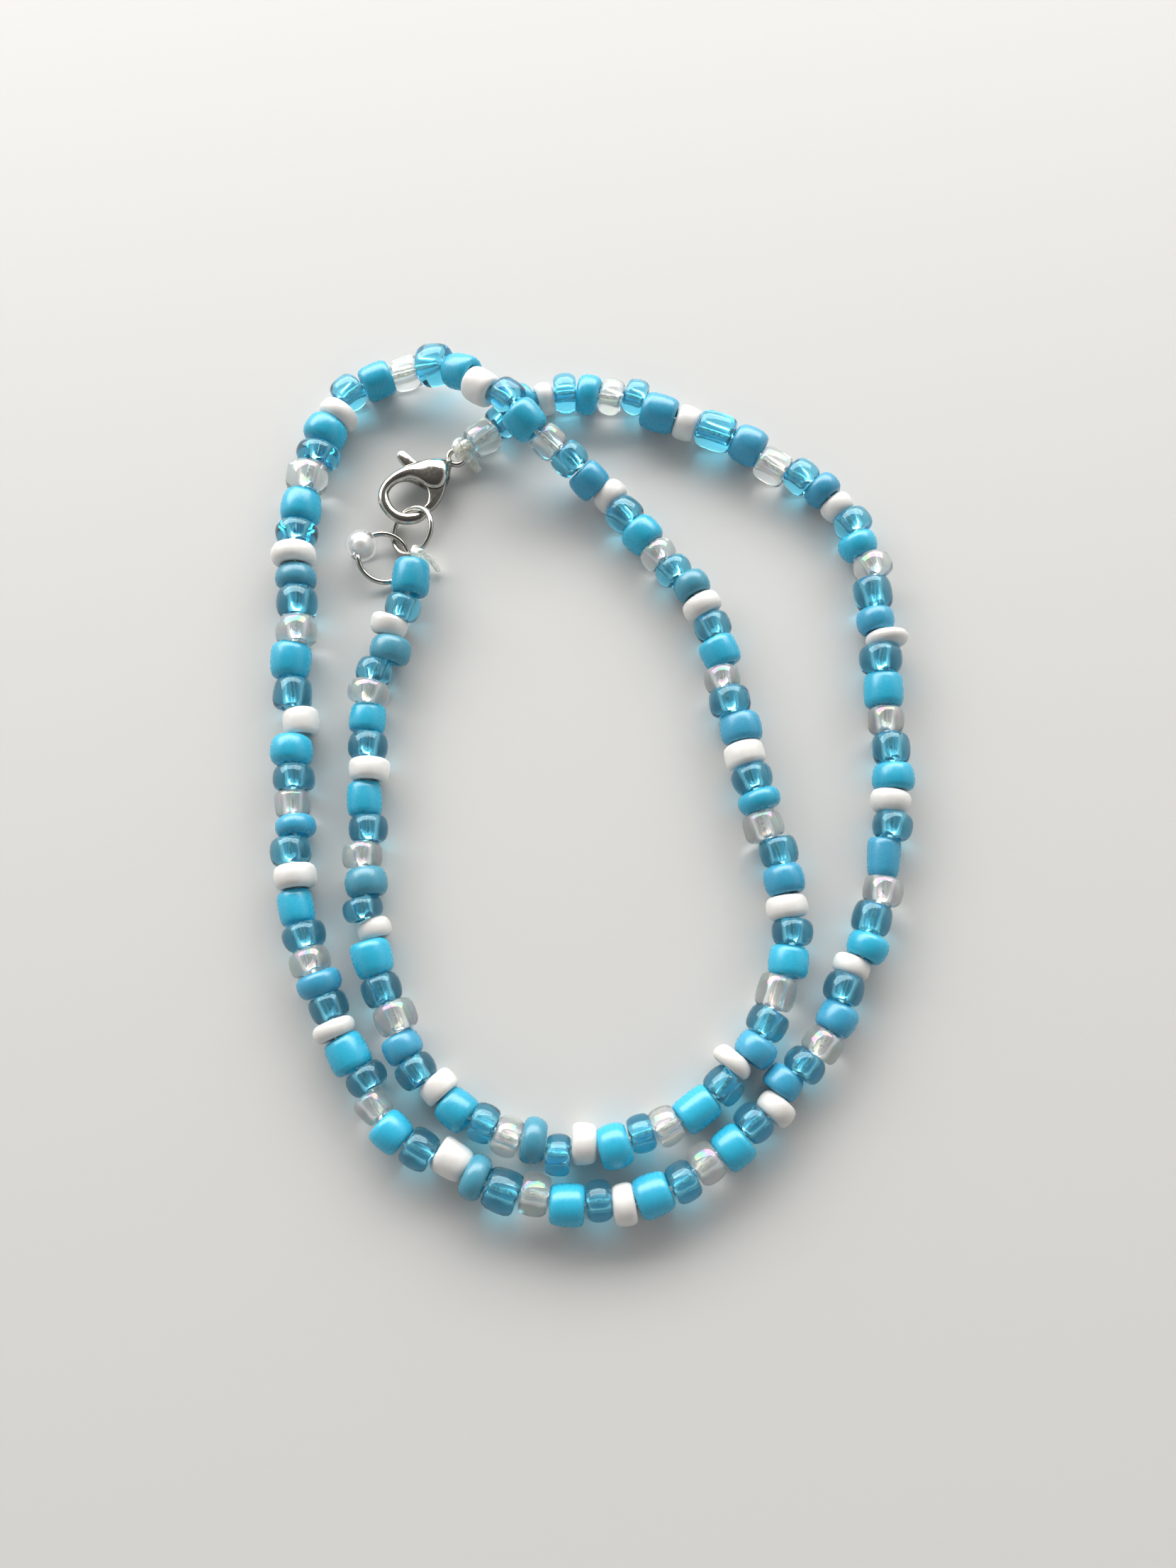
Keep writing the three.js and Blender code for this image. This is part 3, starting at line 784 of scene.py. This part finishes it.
def makeClasp():
    # the claw with its slot cut out, crisp where faces meet steeply, and the eye as a ring of wire
    material = brightMetal()
    points, faces = clawBlank()
    body = putMesh("clasp_claw", claspPlace(points), faces, material)
    points, faces = prism(clasp["slot"], clasp["slotHalf"])
    cutSlot(body, claspPlace(points), faces)
    body.data.set_sharp_from_angle(angle=np.radians(clasp["sharpAngle"]))
    settle(body, "bright_metal", "clasp_body")
    points, faces = ringPoints(clasp["eyeRadius"], clasp["eyeWire"], clasp["eyeSteps"], clasp["eyeSides"])
    settle(putMesh("clasp_eye", claspPlace(points), faces, material), "bright_metal")
    print("clasp made,", len(body.data.polygons), "faces")
    return material


# The lever: the gate at one end and a thumb tab at the other, in the clasp's frame
lever = {
    "half": 0.4, "edge": 0.2, "edgeAngles": (90, 60, 30, 0), "each": 6, "sharpAngle": 40.0,
    "corners": [
        (2.75, 0.6), (2.92, -0.35), (3.45, -1.4), (3.8, -2.9), (3.85, -4.3), (4.05, -4.87), (4.5, -5.05),
        (4.95, -4.78), (5.2, -3.7), (4.95, -2.2), (4.78, -0.8), (5.1, 0.35), (5.6, 1.3), (6.4, 2.03),
        (7.2, 2.23), (7.24, 2.38), (7.08, 2.68), (6.84, 2.98), (6.1, 3.04), (4.6, 2.62),
        (3.3, 1.8), (2.82, 1.25),
    ],
}


def makeLever(material):
    # a smooth closed outline as a plate whose edge is a quarter round on both faces
    corners, each = np.array(lever["corners"]), lever["each"]
    loop = smoothPath(np.vstack([corners[-2:], corners, corners[:2]]), each)
    loop = loop[2 * each:-(each + 1)]  # without the corners that were repeated to close it smoothly
    tangent = unit(np.roll(loop, -1, 0) - np.roll(loop, 1, 0))
    inward = np.stack([-tangent[:, 1], tangent[:, 0]], axis=1)
    angle = np.radians(lever["edgeAngles"])
    inset = lever["edge"] * (1 - np.cos(angle))
    level = lever["half"] - lever["edge"] + lever["edge"] * np.sin(angle)
    inset, level = np.concatenate([inset, inset[::-1]]), np.concatenate([level, -level[::-1]])
    count, last = len(loop), (len(level) - 1) * len(loop)
    flat = loop[None] + inward[None] * inset[:, None, None]
    high = np.broadcast_to(level[:, None, None], (len(level), count, 1))
    points = np.concatenate([flat, high], axis=-1)
    faces = gridFaces(len(level), count, False, True)[:, ::-1].tolist()
    faces += [list(range(count)), list(range(last + count - 1, last - 1, -1))]
    piece = putMesh("clasp_gate_lever", claspPlace(points.reshape(-1, 3)), faces, material)
    piece.data.set_sharp_from_angle(angle=np.radians(lever["sharpAngle"]))
    settle(piece, "bright_metal", "clasp_lever", body="lever")
    print("lever made,", len(faces), "faces")


# Two rings of round wire and the pearl on the second one, in millimetres and degrees
rings = {
    "wire": 0.3, "splitGap": 0.05, "steps": 96, "sides": 14, "sharpAngle": 50.0,
    "jump": {"radius": 2.78, "centre": (-20.1, 26.77, 1.78), "tiltX": 2.3, "tiltY": -31.7, "split": 35.0},
    "charm": {"radius": 2.85, "centre": (-23.35, 23.75, 1.1), "tiltX": 6.0, "tiltY": 14.0, "split": 118.0},
    "pearlAngle": 153.0, "pearlCore": 1.1, "pearlSkin": 1.8, "pearlHole": 0.36,
    "pearlRows": 22, "pearlSides": 36, "holeRows": 4,
}


def ringPlace(points, ring):
    # tilts the ring's plane about y, then about x, and moves it to its centre
    tilt = turnAbout(0, np.radians(ring["tiltX"])) @ turnAbout(1, np.radians(ring["tiltY"]))
    return (np.asarray(points) @ tilt.T + np.array(ring["centre"])) * mm


def wireRing(ring):
    # round wire bent to a circle that stops short of itself at the split, with flat cut ends
    gap = rings["splitGap"] / ring["radius"]
    angle = np.radians(ring["split"]) + gap / 2 + np.linspace(0, 1, rings["steps"]) * (turn - gap)
    path = np.stack([np.cos(angle), np.sin(angle), 0 * angle], axis=1)
    around = (np.arange(rings["sides"]) / rings["sides"] * turn)[None, :, None]
    reach, height = ring["radius"] + rings["wire"] * np.cos(around), rings["wire"] * np.sin(around)
    points = path[:, None] * reach + upward * height
    faces = gridFaces(len(path), rings["sides"], False, True)[:, ::-1].tolist()
    last = (len(path) - 1) * rings["sides"]
    faces += [list(range(rings["sides"])), list(range(last + rings["sides"] - 1, last - 1, -1))]
    return points.reshape(-1, 3), faces


def drilledBall(radius, hole, rows, sides):
    # a ball round the wire: half a circle from one mouth of the hole to the other, then back along the hole,
    # turned about the y axis
    reach = np.sqrt(radius**2 - hole**2)
    tip = np.arctan2(hole, reach)
    sweep = np.linspace(tip, np.pi - tip, rows)
    axial = np.concatenate([radius * np.cos(sweep), np.linspace(-reach, reach, rings["holeRows"] + 2)[1:-1]])
    radial = np.concatenate([radius * np.sin(sweep), np.full(rings["holeRows"], hole)])[:, None]
    angle = np.arange(sides) / sides * turn
    points = np.stack([radial * np.cos(angle), axial[:, None] + 0 * angle, radial * np.sin(angle)], axis=-1)
    return points.reshape(-1, 3), gridFaces(len(axial), sides, True, True)


def makeRings(material):
    # both rings in their places, then the pearl, turned to its angle on the second ring and moved out to
    # the wire
    wires = [("jump_ring_wire", "jump", "jump_ring"), ("charm_ring_wire", "charm", "charm_ring")]
    for name, key, node in wires:
        points, faces = wireRing(rings[key])
        piece = putMesh(name, ringPlace(points, rings[key]), faces, material)
        piece.data.set_sharp_from_angle(angle=np.radians(rings["sharpAngle"]))
        settle(piece, "bright_metal", node)
    ring = rings["charm"]
    spin = turnAbout(2, np.radians(rings["pearlAngle"]))
    offset = spin @ np.array([ring["radius"], 0.0, 0.0])
    layers = [
        ("pearl_core", rings["pearlCore"], pearlLustre(), ["pearl_bead"]),
        ("pearl_glass", rings["pearlSkin"], milkyGlass(), []),
    ]
    for name, radius, skin, nodes in layers:
        points, faces = drilledBall(radius, rings["pearlHole"], rings["pearlRows"], rings["pearlSides"])
        piece = putMesh(name, ringPlace(points @ spin.T + offset, ring), faces, skin)
        settle(piece, "pearl", *nodes)
    print("rings and pearl made")


setTable()
setWindow()
setRoom()
setCamera()
print("table, window and camera set")
beads = stringBeads()
stringThread(beads)
metal = makeClasp()
makeLever(metal)
makeRings(metal)
